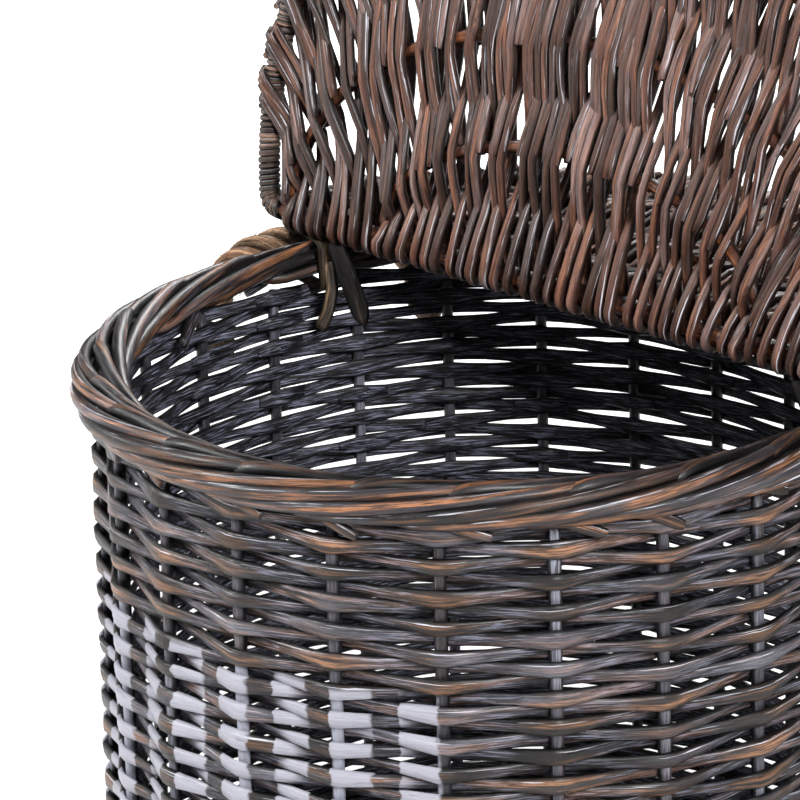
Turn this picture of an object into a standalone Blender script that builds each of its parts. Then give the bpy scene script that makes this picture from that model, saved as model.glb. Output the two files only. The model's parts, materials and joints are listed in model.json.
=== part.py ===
"""A round willow log basket, 0.49 m across and 0.41 m tall to its border, with a hinged front lid.

Metres, +Z up, front of the basket towards -Y. The origin is on the floor under the middle of the whole
object. The body, its stakes and border stand on the basket's own axis, a little in front of the origin,
because the rear deck overhangs the border at the back. The lid is posed open, past upright.
"""

import math

import bmesh
import bpy
from mathutils import Matrix, Vector

# Body
FOOT_RADIUS = 0.231  # centre line of the wall at the floor
RIM_RADIUS = 0.225  # centre line of the wall where the border starts
WEAVE_TOP = 0.377
WALL = 0.012
STAKES = 24
STAKE_RADIUS = 0.003
FOOT_HEIGHT = 0.026
FOOT_WALL = 0.017
BORDER_HEIGHT = 0.028
BORDER_WIDTH = 0.036
BORDER_CORNER = 0.012
# Base
BASE_THICKNESS = 0.014
BASE_RISE = 0.007  # height of the woven base above the floor
BASE_EYE_RADIUS = 0.033  # where the weave starts round the crossed sticks
BASE_STICK_RADIUS = 0.004
BASE_STICKS_EACH_WAY = 3
BASE_STICK_PITCH = 0.0095
# Lid and rear deck
LID_OVERHANG = 0.030  # centre line of the outer hoop beyond the border
LID_CORNER = 0.010
HINGE_OFFSET = 0.056  # hinge line behind the basket's axis
HINGE_CLEARANCE = 0.0075  # underside of the hinge stick above the border
STICK_RADIUS = 0.006
STICK_GAP = 0.010  # between the lid's hinge stick and the deck's front stick
HOOP_RADIUS = 0.0055
HOOP_LEAD = 0.004  # straight stretch of the hoop where it meets the stick
LID_RIB_RADIUS = 0.004
LID_THICKNESS = 0.013
LID_OPEN_DEG = 99.0
LID_RIBS = ((-0.036, 0.072), (0.046, 0.137), (0.114, 0.215))  # feet beyond the straps, and height
DECK_RIB_FEET = (-0.051, 0.019)
DECK_RIB_HEIGHT = 0.055  # of the inner arch; the outer one runs just inside the ties
DECK_RIB_CLEARANCE = 0.003
# Ties and straps
DECK_TIES = ((45.0, "deck_tie_right"), (90.0, "deck_tie_back"), (135.0, "deck_tie_left"))
RIM_LOOPS = ((15.0, "rim_loop_right"), (165.0, "rim_loop_left"))  # at the ends of the hinge line
TIE_WIDTH = 0.012
TIE_THICKNESS = 0.0025
TIE_CORNER = 0.004
STRAP_INSET = 0.069  # strap centres in from the ends of the hinge line
STRAP_WIDTH = 0.014
STRAP_THICKNESS = 0.002
# Rope handles
ROPE_RADIUS = 0.010
HANDLE_ANGLE_DEG = 18.0  # behind the X axis
HANDLE_HALF_ANGLE_DEG = 17.0
HANDLE_DROP = 0.032  # knot centres below the border
KNOT_RADIUS = 0.015
ROPE_STANDOFF = 0.0045  # rope to the border's edge
# Fits
GAP = 0.0003  # between pieces that touch
CHANNEL_CLEARANCE = 0.0004
CHANNEL_RUNOUT = 0.018  # how far a rib channel is cut on past the rib
PANEL_CLEARANCE = 0.0005
STRAP_CLEARANCE = 0.0008  # running clearance round the sticks
NOTCH_CLEARANCE = 0.001
KNOT_STANDOFF = 0.001
SHARP_ROUND = 0.00001  # keeps the corners of a fully rounded outline apart
ROPE_SAG = 0.0015  # top of the rope below the top of the border
RIB_FOOT_GAP = 0.0012  # rib feet lean, so they stand clear of the stick
ROUND_STEPS = 72

BORDER_TOP = WEAVE_TOP + GAP + BORDER_HEIGHT
BORDER_EDGE = RIM_RADIUS + BORDER_WIDTH / 2
LID_RADIUS = BORDER_EDGE + LID_OVERHANG
LID_EDGE = LID_RADIUS + HOOP_RADIUS
AXIS_Y = -(LID_EDGE - BORDER_EDGE) / 2
HINGE_Z = BORDER_TOP + HINGE_CLEARANCE + STICK_RADIUS
STICK_SPACING = 2 * STICK_RADIUS + STICK_GAP
DECK_LINE = HINGE_OFFSET + STICK_SPACING
PANEL_INSET = STICK_RADIUS + PANEL_CLEARANCE


def wall_radius(z):
    return FOOT_RADIUS + (RIM_RADIUS - FOOT_RADIUS) * z / WEAVE_TOP


def material(name, color, roughness, metallic=0.0):
    made = bpy.data.materials.new(name)
    made.use_nodes = True
    shader = made.node_tree.nodes["Principled BSDF"]
    shader.inputs["Base Color"].default_value = (*color, 1.0)
    shader.inputs["Roughness"].default_value = roughness
    shader.inputs["Metallic"].default_value = metallic
    made.diffuse_color = (*color, 1.0)
    return made


def add(name, data, finish, parent, place=(0, 0, 0)):
    piece = bpy.data.objects.new(name, data)
    piece.data.materials.append(finish)
    piece.parent = parent
    piece.location = place
    bpy.context.scene.collection.objects.link(piece)
    return piece


def mesh_from(bm, name, smooth_below_deg=40.0):
    mesh = bpy.data.meshes.new(name)
    bmesh.ops.recalc_face_normals(bm, faces=bm.faces)
    bm.to_mesh(mesh)
    bm.free()
    mesh.shade_smooth()
    mesh.set_sharp_from_angle(angle=math.radians(smooth_below_deg))
    return mesh


def rod_curve(name, points, radius, closed=False, resolution=2):
    """A round rod along the points, with flat ends."""
    curve = bpy.data.curves.new(name, "CURVE")
    curve.dimensions = "3D"
    curve.bevel_depth = radius
    curve.bevel_resolution = resolution
    curve.use_fill_caps = True
    spline = curve.splines.new("POLY")
    spline.points.add(len(points) - 1)
    for point, place in zip(spline.points, points):
        point.co = (*place, 1.0)
    spline.use_cyclic_u = closed
    return curve


def cutter(name, data, parent, place=(0, 0, 0)):
    piece = bpy.data.objects.new(name, data)
    piece.parent = parent
    piece.location = place
    piece.hide_render = True
    piece.display_type = "WIRE"
    bpy.context.scene.collection.objects.link(piece)
    return piece


def rod_mesh(name, points, radius, sides=8):
    """The same rod as a mesh, for cutting."""
    bm = bmesh.new()
    rings = []
    for index, place in enumerate(points):
        before = points[max(index - 1, 0)]
        after = points[min(index + 1, len(points) - 1)]
        along = (Vector(after) - Vector(before)).normalized()
        across = Vector((0, 0, 1)) if abs(along.z) < 0.9 else Vector((1, 0, 0))
        side = along.cross(across).normalized()
        up = side.cross(along)
        ring = []
        for corner in range(sides):
            turn = 2 * math.pi * (corner + 0.5) / sides
            ring.append(bm.verts.new(Vector(place) + radius * (math.cos(turn) * side + math.sin(turn) * up)))
        rings.append(ring)
    for low, high in zip(rings, rings[1:]):
        for corner in range(sides):
            following = (corner + 1) % sides
            bm.faces.new((low[corner], low[following], high[following], high[corner]))
    bm.faces.new(list(reversed(rings[0])))
    bm.faces.new(rings[-1])
    return mesh_from(bm, name)


def box_mesh(name, low, high, turn=0.0):
    """A box between two corners, turned about the basket's axis."""
    bm = bmesh.new()
    bmesh.ops.create_cube(bm, size=1.0)
    for vert in bm.verts:
        share = [vert.co[axis] + 0.5 for axis in range(3)]
        vert.co = Vector([low[axis] + share[axis] * (high[axis] - low[axis]) for axis in range(3)])
    bmesh.ops.rotate(bm, verts=bm.verts, cent=(0, 0, 0), matrix=turn_about_z(turn))
    return mesh_from(bm, name)


def turn_about_z(angle):
    return Matrix.Rotation(angle, 3, "Z")


def subtract(piece, other):
    cut = piece.modifiers.new(other.name, "BOOLEAN")
    cut.operation = "DIFFERENCE"
    cut.solver = "EXACT"
    cut.object = other


def stake_angle(index):
    return 2 * math.pi * (index + 0.5) / STAKES


def woven_ring(name, bottom, top, thickness):
    """A tapered woven wall between two heights, with a channel for each stake."""
    bm = bmesh.new()
    edges = []

    def loop_of(points):
        verts = [bm.verts.new(point) for point in points]
        for index, vert in enumerate(verts):
            edges.append(bm.edges.new((vert, verts[(index + 1) % len(verts)])))

    middle = wall_radius(bottom)
    shift = wall_radius(top) - middle
    channel = STAKE_RADIUS + CHANNEL_CLEARANCE
    for radius in (middle - thickness / 2, middle + thickness / 2):
        steps = [2 * math.pi * (step + 0.5) / ROUND_STEPS for step in range(ROUND_STEPS)]
        loop_of([(radius * math.cos(turn), radius * math.sin(turn), bottom) for turn in steps])
    for index in range(STAKES):
        turn = stake_angle(index)
        centre = Vector((middle * math.cos(turn), middle * math.sin(turn), bottom))
        sides = [2 * math.pi * side / 8 for side in range(8)]
        loop_of([centre + channel * Vector((math.cos(side), math.sin(side), 0)) for side in sides])
    bmesh.ops.triangle_fill(bm, use_beauty=True, edges=edges)
    lifted = bmesh.ops.extrude_face_region(bm, geom=bm.faces[:])["geom"]
    for vert in [item for item in lifted if isinstance(item, bmesh.types.BMVert)]:
        turn = math.atan2(vert.co.y, vert.co.x)
        radius = math.hypot(vert.co.x, vert.co.y)
        if abs(radius - middle) < thickness / 2 - 1e-5:
            turn = stake_angle(round(turn / (2 * math.pi) * STAKES - 0.5))
        vert.co += Vector((shift * math.cos(turn), shift * math.sin(turn), top - bottom))
    return mesh_from(bm, name)


def turned_ring(name, outline, steps=ROUND_STEPS):
    """A ring turned from an outline of (radius, height) points."""
    bm = bmesh.new()
    verts = [bm.verts.new((radius, 0, height)) for radius, height in outline]
    edges = [bm.edges.new((vert, verts[(index + 1) % len(verts)])) for index, vert in enumerate(verts)]
    bmesh.ops.spin(
        bm,
        geom=[*edges, *verts],
        cent=(0, 0, 0),
        axis=(0, 0, 1),
        angle=2 * math.pi,
        steps=steps,
        use_merge=True,
    )
    return mesh_from(bm, name)


def half_disc(radius, chord, corner, steps=36):
    """The outline of a disc cut off at y = chord, keeping the side below it, with rounded corners.

    It runs from the left end of the straight side, round the disc, to its right end.
    """
    across = math.sqrt((radius - corner) ** 2 - (chord - corner) ** 2)
    lean = math.atan2(chord - corner, -across) % (2 * math.pi)
    points = []
    for step in range(5):
        turn = math.pi / 2 + (lean - math.pi / 2) * step / 5
        points.append((-across + corner * math.cos(turn), chord - corner + corner * math.sin(turn)))
    sweep = 3 * math.pi - 2 * lean
    for step in range(steps + 1):
        turn = lean + sweep * step / steps
        points.append((radius * math.cos(turn), radius * math.sin(turn)))
    points += [(-x, y) for x, y in reversed(points[:5])]
    return points


def hinge_half():
    """Half the length of the lid's hinge stick."""
    across = math.sqrt((LID_RADIUS - LID_CORNER) ** 2 - (HINGE_OFFSET - LID_CORNER) ** 2)
    return across - HOOP_LEAD


def strap_place():
    return hinge_half() - STRAP_INSET


def rib_arches(ribs):
    """Half span and height of each arch, from where its feet stand beyond the straps."""
    return [(strap_place() + feet, height) for feet, height in ribs]


def outer_deck_rib():
    inside_ties = RIM_RADIUS - BORDER_WIDTH / 2 - GAP - TIE_THICKNESS - DECK_RIB_CLEARANCE
    return inside_ties - LID_RIB_RADIUS - DECK_LINE - STICK_RADIUS - RIB_FOOT_GAP


def circle_share(first, second, radius):
    """How far along the line between two points it crosses a circle round the basket's axis."""
    first, second = Vector(first), Vector(second)
    low, high = (0.0, 1.0) if first.length < radius else (1.0, 0.0)
    for _ in range(20):
        middle = (low + high) / 2
        if first.lerp(second, middle).length < radius:
            low = middle
        else:
            high = middle
    return low


def arch(half_span, height, chord, steps=18):
    """A rib from one foot on the straight side to the other, stopped short of the stick and the hoop."""
    stop = LID_RADIUS - HOOP_RADIUS - LID_RIB_RADIUS - GAP
    points = []
    for step in range(-1, steps + 2):
        turn = math.pi * step / steps
        x = half_span * math.cos(turn)
        y = chord - max(height * math.sin(turn), 0.0) - STICK_RADIUS - RIB_FOOT_GAP
        points.append((x, y))
    kept = []
    for before, point in zip(points[1:-2], points[2:-1]):
        inside = [math.hypot(*place) < stop for place in (before, point)]
        if inside[0]:
            kept.append(before)
        if inside[0] != inside[1]:
            kept.append(tuple(Vector(before).lerp(Vector(point), circle_share(before, point, stop))))
    if math.hypot(*points[-2]) < stop:
        kept.append(points[-2])
    return kept


def panel_mesh(name, outline, thickness):
    bm = bmesh.new()
    face = bm.faces.new([bm.verts.new((x, y, -thickness / 2)) for x, y in outline])
    lifted = bmesh.ops.extrude_face_region(bm, geom=[face])["geom"]
    moved = [item for item in lifted if isinstance(item, bmesh.types.BMVert)]
    bmesh.ops.translate(bm, verts=moved, vec=(0, 0, thickness))
    bmesh.ops.triangulate(bm, faces=[item for item in bm.faces if len(item.verts) > 4])
    return mesh_from(bm, name)


def half_cover(prefix, chord, ribs, flip, parent, centre_y):
    """A half lid: straight stick, hoop bent to its outline, arched ribs and the woven panel over them.

    Points are worked out with the basket's axis at the origin and the panel in front of its stick, then
    turned round for the rear half, and set relative to the parent, which lies on the straight side.
    """

    def seat(points, height=0.0):
        side = -1.0 if flip else 1.0
        return [(x, side * y - centre_y, height) for x, y in points]

    rim = half_disc(LID_RADIUS, chord, LID_CORNER)
    half = -rim[0][0] - HOOP_LEAD
    rim = [(-half, chord), *rim, (half, chord)]
    stick = add(
        f"{prefix}_stick",
        rod_curve(f"{prefix}_stick", seat([(-half + GAP, chord), (half - GAP, chord)]), STICK_RADIUS),
        PEELED,
        parent,
    )
    hoop = add(f"{prefix}_hoop", rod_curve(f"{prefix}_hoop", seat(rim), HOOP_RADIUS), LID_WILLOW, parent)
    inset = PANEL_INSET
    outline = half_disc(LID_RADIUS - inset, chord - inset, LID_CORNER - inset)
    weave = add(
        f"{prefix}_weave",
        panel_mesh(f"{prefix}_weave", [point[:2] for point in seat(outline)], LID_THICKNESS),
        LID_WILLOW,
        parent,
    )
    for index, (half_span, height) in enumerate(ribs, start=1):
        path = arch(half_span, height, chord)
        add(
            f"{prefix}_rib_{index}",
            rod_curve(f"{prefix}_rib_{index}", seat(path), LID_RIB_RADIUS, resolution=1),
            PEELED,
            parent,
        )
        first, second = Vector(path[0]), Vector(path[1])
        before = first + (first - second).normalized() * CHANNEL_RUNOUT
        last, previous = Vector(path[-1]), Vector(path[-2])
        after = last + (last - previous).normalized() * CHANNEL_RUNOUT
        route = seat([tuple(before), *path, tuple(after)])
        channel = LID_RIB_RADIUS + CHANNEL_CLEARANCE
        name = f"{prefix}_channel_{index}"
        subtract(weave, cutter(name, rod_mesh(name, route, channel), parent))
    for side in (-1, 1):
        deep = STICK_RADIUS + STRAP_CLEARANCE + STRAP_THICKNESS + 2 * NOTCH_CLEARANCE
        wide = STRAP_WIDTH / 2 + NOTCH_CLEARANCE
        middle = side * strap_place()
        corners = seat([(middle - wide, chord + 0.02), (middle + wide, chord - deep)])
        low = [min(pair) for pair in zip(*corners)]
        high = [max(pair) for pair in zip(*corners)]
        low[2], high[2] = -LID_THICKNESS, LID_THICKNESS
        name = f"{prefix}_strap_notch_{'left' if side < 0 else 'right'}"
        subtract(weave, cutter(name, box_mesh(name, low, high), parent))
    return stick, hoop, weave


def band_mesh(name, inner, outer, width):
    """A flat band between two closed outlines in the XZ plane, of the given width along Y."""
    bm = bmesh.new()
    loops = []
    for outline in (inner, outer):
        loops.append([bm.verts.new((x, -width / 2, z)) for x, z in outline])
    count = len(inner)
    for index in range(count):
        following = (index + 1) % count
        bm.faces.new((loops[0][index], loops[0][following], loops[1][following], loops[1][index]))
    lifted = bmesh.ops.extrude_face_region(bm, geom=bm.faces[:])["geom"]
    moved = [item for item in lifted if isinstance(item, bmesh.types.BMVert)]
    bmesh.ops.translate(bm, verts=moved, vec=(0, width, 0))
    return bm


def rounded_box(low, high, corner, steps=3):
    """A rectangle outline with rounded corners, anticlockwise."""
    points = []
    centres = (
        (high[0] - corner, high[1] - corner, 0.0),
        (low[0] + corner, high[1] - corner, 0.5),
        (low[0] + corner, low[1] + corner, 1.0),
        (high[0] - corner, low[1] + corner, 1.5),
    )
    for x, z, start in centres:
        for step in range(steps + 1):
            turn = math.pi * (start + 0.5 * step / steps)
            points.append((x + corner * math.cos(turn), z + corner * math.sin(turn)))
    return points


for old in list(bpy.data.objects):
    bpy.data.objects.remove(old, do_unlink=True)

WILLOW = material("dark_willow", (0.060, 0.045, 0.038), 0.55)
STAKE_WOOD = material("stake_willow", (0.050, 0.040, 0.040), 0.6)
BORDER_WOOD = material("border_willow", (0.085, 0.055, 0.040), 0.5)
LID_WILLOW = material("lid_willow", (0.120, 0.065, 0.045), 0.5)
PEELED = material("peeled_willow", (0.260, 0.095, 0.040), 0.55)
SPLIT = material("split_willow", (0.200, 0.140, 0.090), 0.65)
STRAP = material("dark_strap", (0.030, 0.027, 0.026), 0.5)
JUTE = material("jute", (0.360, 0.240, 0.140), 0.9)

basket = bpy.data.objects.new("basket_axis", None)
basket.location = (0, AXIS_Y, 0)
bpy.context.scene.collection.objects.link(basket)


# Body
def make_body():
    add("foot_wale", woven_ring("foot_wale", 0.0, FOOT_HEIGHT, FOOT_WALL), WILLOW, basket)
    side = add("side_weave", woven_ring("side_weave", FOOT_HEIGHT + GAP, WEAVE_TOP, WALL), WILLOW, basket)
    for index in range(STAKES):
        turn = stake_angle(index)
        ends = []
        for z in (STAKE_RADIUS, WEAVE_TOP):
            radius = wall_radius(z)
            ends.append((radius * math.cos(turn), radius * math.sin(turn), z))
        name = f"stake_{index + 1:02d}"
        add(name, rod_curve(name, ends, STAKE_RADIUS), STAKE_WOOD, basket)
    half = BORDER_WIDTH / 2
    middle = WEAVE_TOP + GAP + BORDER_HEIGHT / 2
    outline = rounded_box(
        (RIM_RADIUS - half, middle - BORDER_HEIGHT / 2),
        (RIM_RADIUS + half, middle + BORDER_HEIGHT / 2),
        BORDER_CORNER,
        2,
    )
    add("rim_border", turned_ring("rim_border", outline), BORDER_WOOD, basket)
    return side


# Base
def make_base():
    low, high = BASE_RISE, BASE_RISE + BASE_THICKNESS
    edge = min(wall_radius(low), wall_radius(high)) - FOOT_WALL / 2 - GAP
    outline = [(BASE_EYE_RADIUS, low), (edge, low), (edge, high), (BASE_EYE_RADIUS, high)]
    base = add("base_weave", turned_ring("base_weave", outline, ROUND_STEPS // 2), WILLOW, basket)
    middle = (low + high) / 2
    channel = BASE_STICK_RADIUS + CHANNEL_CLEARANCE
    spread = math.pi / (2 * BASE_STICKS_EACH_WAY)
    number = 0
    for way, layer in ((0.0, -1), (math.pi / 2, 1)):
        for place in range(BASE_STICKS_EACH_WAY):
            number += 1
            offset = place - (BASE_STICKS_EACH_WAY - 1) / 2
            lean = offset * spread
            half = []
            for radius in (edge - GAP, BASE_EYE_RADIUS - BASE_STICK_RADIUS):
                half.append((radius * math.cos(lean), radius * math.sin(lean), middle))
            crossing = BASE_STICKS_EACH_WAY * BASE_STICK_PITCH / 2 + BASE_STICK_RADIUS
            half.append((crossing, offset * BASE_STICK_PITCH, middle + layer * (BASE_STICK_RADIUS + GAP)))
            path = half + [(-x, y, z) for x, y, z in reversed(half)]
            cos_way, sin_way = math.cos(way), math.sin(way)
            turned = [(x * cos_way - y * sin_way, x * sin_way + y * cos_way, z) for x, y, z in path]
            name = f"base_stick_{number}"
            add(name, rod_curve(name, turned, BASE_STICK_RADIUS), STAKE_WOOD, basket)
            for end in (0, -1):
                outer = Vector(turned[end])
                inner = Vector(turned[1 if end == 0 else -2])
                along = (outer - inner).normalized()
                route = [tuple(inner - along * 0.012), tuple(outer + along * 0.012)]
                hole = f"base_channel_{number}_{'in' if end == 0 else 'out'}"
                subtract(base, cutter(hole, rod_mesh(hole, route, channel), basket))


# Lid and deck
def make_covers():
    lid_axis = bpy.data.objects.new("lid_axis", None)
    lid_axis.parent = basket
    lid_axis.location = (0, HINGE_OFFSET, HINGE_Z)
    lid_axis.rotation_euler = (-math.radians(LID_OPEN_DEG), 0, 0)
    bpy.context.scene.collection.objects.link(lid_axis)
    half_cover("lid", HINGE_OFFSET, rib_arches(LID_RIBS), False, lid_axis, HINGE_OFFSET)
    deck_axis = bpy.data.objects.new("deck_axis", None)
    deck_axis.parent = basket
    deck_axis.location = (0, DECK_LINE, HINGE_Z)
    bpy.context.scene.collection.objects.link(deck_axis)
    ribs = rib_arches(zip(DECK_RIB_FEET, (DECK_RIB_HEIGHT, outer_deck_rib())))
    return half_cover("deck", -DECK_LINE, ribs, True, deck_axis, DECK_LINE)[2]


# Hinge straps round both sticks, and willow ties that hold the deck to the border
def make_fastenings(side, deck_weave):
    inner_radius = STICK_RADIUS + STRAP_CLEARANCE
    outer_radius = inner_radius + STRAP_THICKNESS
    for place, name in ((-strap_place(), "hinge_strap_left"), (strap_place(), "hinge_strap_right")):
        outlines = []
        for radius in (inner_radius, outer_radius):
            high = (STICK_SPACING + radius, radius)
            outlines.append(rounded_box((-radius, -radius), high, radius - SHARP_ROUND, 5))
        bm = band_mesh(name, outlines[0], outlines[1], STRAP_WIDTH)
        bmesh.ops.rotate(bm, verts=bm.verts, cent=(0, 0, 0), matrix=turn_about_z(math.pi / 2))
        add(name, mesh_from(bm, name), STRAP, basket, (place, HINGE_OFFSET, HINGE_Z))
    inner_low = (RIM_RADIUS - BORDER_WIDTH / 2 - GAP, WEAVE_TOP)
    over_border = (BORDER_EDGE + GAP, BORDER_TOP + GAP)
    over_hoop = (LID_EDGE + GAP, HINGE_Z + HOOP_RADIUS + GAP)
    bands = [(angle, name, over_border) for angle, name in RIM_LOOPS]
    bands += [(angle, name, over_hoop) for angle, name in DECK_TIES]
    for angle, name, inner_high in bands:
        turn = math.radians(angle)
        inner = rounded_box(inner_low, inner_high, TIE_CORNER)
        outer_low = [value - TIE_THICKNESS for value in inner_low]
        outer_high = [value + TIE_THICKNESS for value in inner_high]
        outer = rounded_box(outer_low, outer_high, TIE_CORNER + TIE_THICKNESS)
        bm = band_mesh(name, inner, outer, TIE_WIDTH)
        bmesh.ops.rotate(bm, verts=bm.verts, cent=(0, 0, 0), matrix=turn_about_z(turn))
        add(name, mesh_from(bm, name), SPLIT, basket)
        half = TIE_WIDTH / 2 + GAP
        low = (outer_low[0] - GAP, -half, outer_low[1] - GAP)
        high = (outer_high[0] + GAP, half, outer_high[1] + GAP)
        slot = cutter(f"{name}_slot", box_mesh(f"{name}_slot", low, high, turn), basket)
        subtract(side, slot)
        if inner_high is over_hoop:
            subtract(deck_weave, slot)


# Rope handles
def make_handles():
    for mirror, name in ((-1, "handle_left"), (1, "handle_right")):
        turn = math.radians(HANDLE_ANGLE_DEG)
        knot_z = WEAVE_TOP - HANDLE_DROP
        knot_reach = wall_radius(knot_z) + WALL / 2 + KNOT_RADIUS + KNOT_STANDOFF
        rope_reach = BORDER_EDGE + ROPE_STANDOFF + ROPE_RADIUS
        peak_z = BORDER_TOP - ROPE_SAG - ROPE_RADIUS
        spread = math.radians(HANDLE_HALF_ANGLE_DEG)
        route = []
        steps = 24
        for step in range(steps + 1):
            share = -1 + 2 * step / steps
            swell = (1 - abs(share) ** 3.2) ** (1 / 2.2)
            angle = spread * share
            reach = knot_reach + (rope_reach - knot_reach) * min(1.0, 1.25 * swell)
            route.append((angle, reach, knot_z + (peak_z - knot_z) * swell))
        points = []
        for angle, reach, z in route:
            around = turn + angle
            points.append(Vector((mirror * reach * math.cos(around), reach * math.sin(around), z)))
        pivot = (points[0] + points[-1]) / 2
        axis = bpy.data.objects.new(f"{name}_axis", None)
        axis.parent = basket
        axis.location = pivot
        bpy.context.scene.collection.objects.link(axis)
        for end, label in ((0, "front"), (-1, "back")):
            bm = bmesh.new()
            bmesh.ops.create_uvsphere(bm, u_segments=12, v_segments=8, radius=KNOT_RADIUS)
            knot = f"{name}_knot_{label}"
            add(knot, mesh_from(bm, knot), JUTE, axis, points[end] - pivot)
        inside = []
        for point in points:
            if min((point - points[0]).length, (point - points[-1]).length) > KNOT_RADIUS:
                inside.append(point)
        first = points[0] + (inside[0] - points[0]).normalized() * (KNOT_RADIUS + GAP)
        last = points[-1] + (inside[-1] - points[-1]).normalized() * (KNOT_RADIUS + GAP)
        rope = [tuple(point - pivot) for point in [first, *inside, last]]
        add(f"{name}_rope", rod_curve(f"{name}_rope", rope, ROPE_RADIUS), JUTE, axis)


side_weave = make_body()
make_base()
deck_panel = make_covers()
make_fastenings(side_weave, deck_panel)
make_handles()
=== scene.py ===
import json
import math

import bmesh
import bpy
import numpy as np
from mathutils import Matrix, Vector


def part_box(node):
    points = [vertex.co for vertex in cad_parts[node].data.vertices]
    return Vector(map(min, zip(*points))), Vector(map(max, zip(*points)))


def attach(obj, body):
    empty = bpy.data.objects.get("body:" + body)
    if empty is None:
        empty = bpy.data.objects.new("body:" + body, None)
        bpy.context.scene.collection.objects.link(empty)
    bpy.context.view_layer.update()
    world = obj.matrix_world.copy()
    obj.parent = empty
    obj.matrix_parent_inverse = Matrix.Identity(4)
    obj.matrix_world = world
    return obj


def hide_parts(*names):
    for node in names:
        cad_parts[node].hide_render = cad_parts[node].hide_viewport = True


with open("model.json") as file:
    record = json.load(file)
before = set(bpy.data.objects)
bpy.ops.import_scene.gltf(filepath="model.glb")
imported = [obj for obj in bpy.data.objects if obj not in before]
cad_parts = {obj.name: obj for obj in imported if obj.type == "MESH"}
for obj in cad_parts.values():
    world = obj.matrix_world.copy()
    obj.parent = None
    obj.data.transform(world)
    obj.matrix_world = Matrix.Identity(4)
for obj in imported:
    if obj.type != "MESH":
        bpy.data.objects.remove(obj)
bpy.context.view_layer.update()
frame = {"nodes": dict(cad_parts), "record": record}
scene = bpy.context.scene
nodes = frame["nodes"]
joints = {joint["name"]: joint for joint in frame["record"]["behaviour"]["joints"]}


# places that every piece is set by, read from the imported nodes
def halfWidth(node):
    low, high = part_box(node)
    return (high.x - low.x) / 2


borderLow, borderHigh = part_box("rim_border")
deckStickLow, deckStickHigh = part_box("deck_stick")
hinge = Vector(joints["lid_hinge"]["pos_m"])

body = {
    "axisY": (borderLow.y + borderHigh.y) / 2,
    "borderEdge": halfWidth("rim_border"),
    "borderHalf": 0.018,
    "borderLow": borderLow.z,
    "borderTop": borderHigh.z,
    "weaveTop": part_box("side_weave")[1].z,
    "wall": 0.012,
    "footTop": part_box("foot_wale")[1].z,
    "footHalf": 0.0083,
    "stakes": len([name for name in nodes if name.startswith("stake_")]),
}
body["rimRadius"] = body["borderEdge"] - body["borderHalf"]
body["footRadius"] = halfWidth("foot_wale") - body["footHalf"]
cover = {
    "hingeY": hinge.y,
    "hingeZ": hinge.z,
    "deckY": (deckStickLow.y + deckStickHigh.y) / 2,
    "hoopRod": 0.0055,
    "openDeg": 99.0,
}
cover["hoopRadius"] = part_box("deck_hoop")[1].x - cover["hoopRod"]


def wallRadius(z):
    return body["footRadius"] + (body["rimRadius"] - body["footRadius"]) * z / body["weaveTop"]


def around(angle, radius, z):
    return (radius * math.cos(angle), radius * math.sin(angle) + body["axisY"], z)


# camera
camera = {"turn": 45.2, "distance": 2.002, "height": 1.092, "yaw": 1.56, "pitch": 19.9, "roll": -1.66,
          "lens": 167.1, "sensor": 36, "farthest": 50}


def makeCamera():
    turn = math.radians(camera["turn"])
    look = turn + math.radians(camera["yaw"])
    pitch = math.radians(camera["pitch"])
    roll = math.radians(camera["roll"])
    forward = Vector((-math.sin(look) * math.cos(pitch), math.cos(look) * math.cos(pitch), -math.sin(pitch)))
    level = Vector((math.cos(look), math.sin(look), 0))
    upright = level.cross(forward)
    right = math.cos(roll) * level + math.sin(roll) * upright
    up = -math.sin(roll) * level + math.cos(roll) * upright
    data = bpy.data.cameras.new("studioCamera")
    data.lens = camera["lens"]
    data.sensor_width = camera["sensor"]
    data.clip_end = camera["farthest"]
    made = bpy.data.objects.new("studioCamera", data)
    distance = camera["distance"]
    place = Vector((distance * math.sin(turn), -distance * math.cos(turn), camera["height"]))
    place.y += body["axisY"]
    made.matrix_world = Matrix.Translation(place) @ Matrix((right, up, -forward)).transposed().to_4x4()
    scene.collection.objects.link(made)
    scene.camera = made


makeCamera()
print("camera set")


# shader helpers
def newMaterial(name):
    made = bpy.data.materials.new(name)
    made.use_nodes = True
    return made, made.node_tree


def setInputs(tree, node, inputs):
    for key, value in inputs.items():
        if isinstance(value, bpy.types.NodeSocket):
            tree.links.new(value, node.inputs[key])
        else:
            node.inputs[key].default_value = value


def addNode(tree, kind, inputs=None, **settings):
    node = tree.nodes.new(kind)
    for key, value in settings.items():
        setattr(node, key, value)
    setInputs(tree, node, inputs or {})
    return node


def maths(tree, operation, first, second=0.0, clamp=False):
    node = addNode(tree, "ShaderNodeMath", {0: first, 1: second}, operation=operation, use_clamp=clamp)
    return node.outputs[0]


def times(tree, first, second, clamp=False):
    return maths(tree, "MULTIPLY", first, second, clamp)


def mixColor(tree, share, first, second, blend="MIX"):
    keys = {0: share, 6: first, 7: second}
    return addNode(tree, "ShaderNodeMix", keys, data_type="RGBA", blend_type=blend).outputs[2]


def stretch(tree, value, low, high, newLow=0.0, newHigh=1.0):
    keys = {"Value": value, "From Min": low, "From Max": high, "To Min": newLow, "To Max": newHigh}
    return addNode(tree, "ShaderNodeMapRange", keys, interpolation_type="SMOOTHSTEP").outputs[0]


def noiseAt(tree, x, y, z, detail=3.0, roughness=0.55):
    place = addNode(tree, "ShaderNodeCombineXYZ", {0: x, 1: y, 2: z}).outputs[0]
    keys = {"Vector": place, "Scale": 1.0, "Detail": detail, "Roughness": roughness}
    return addNode(tree, "ShaderNodeTexNoise", keys).outputs["Fac"]


# values that every rod carries: metres along it, -1 to 1 across it, 1 on its outer side, and its own tone
rodMarks = ("along", "across", "facing", "tone")


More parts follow.
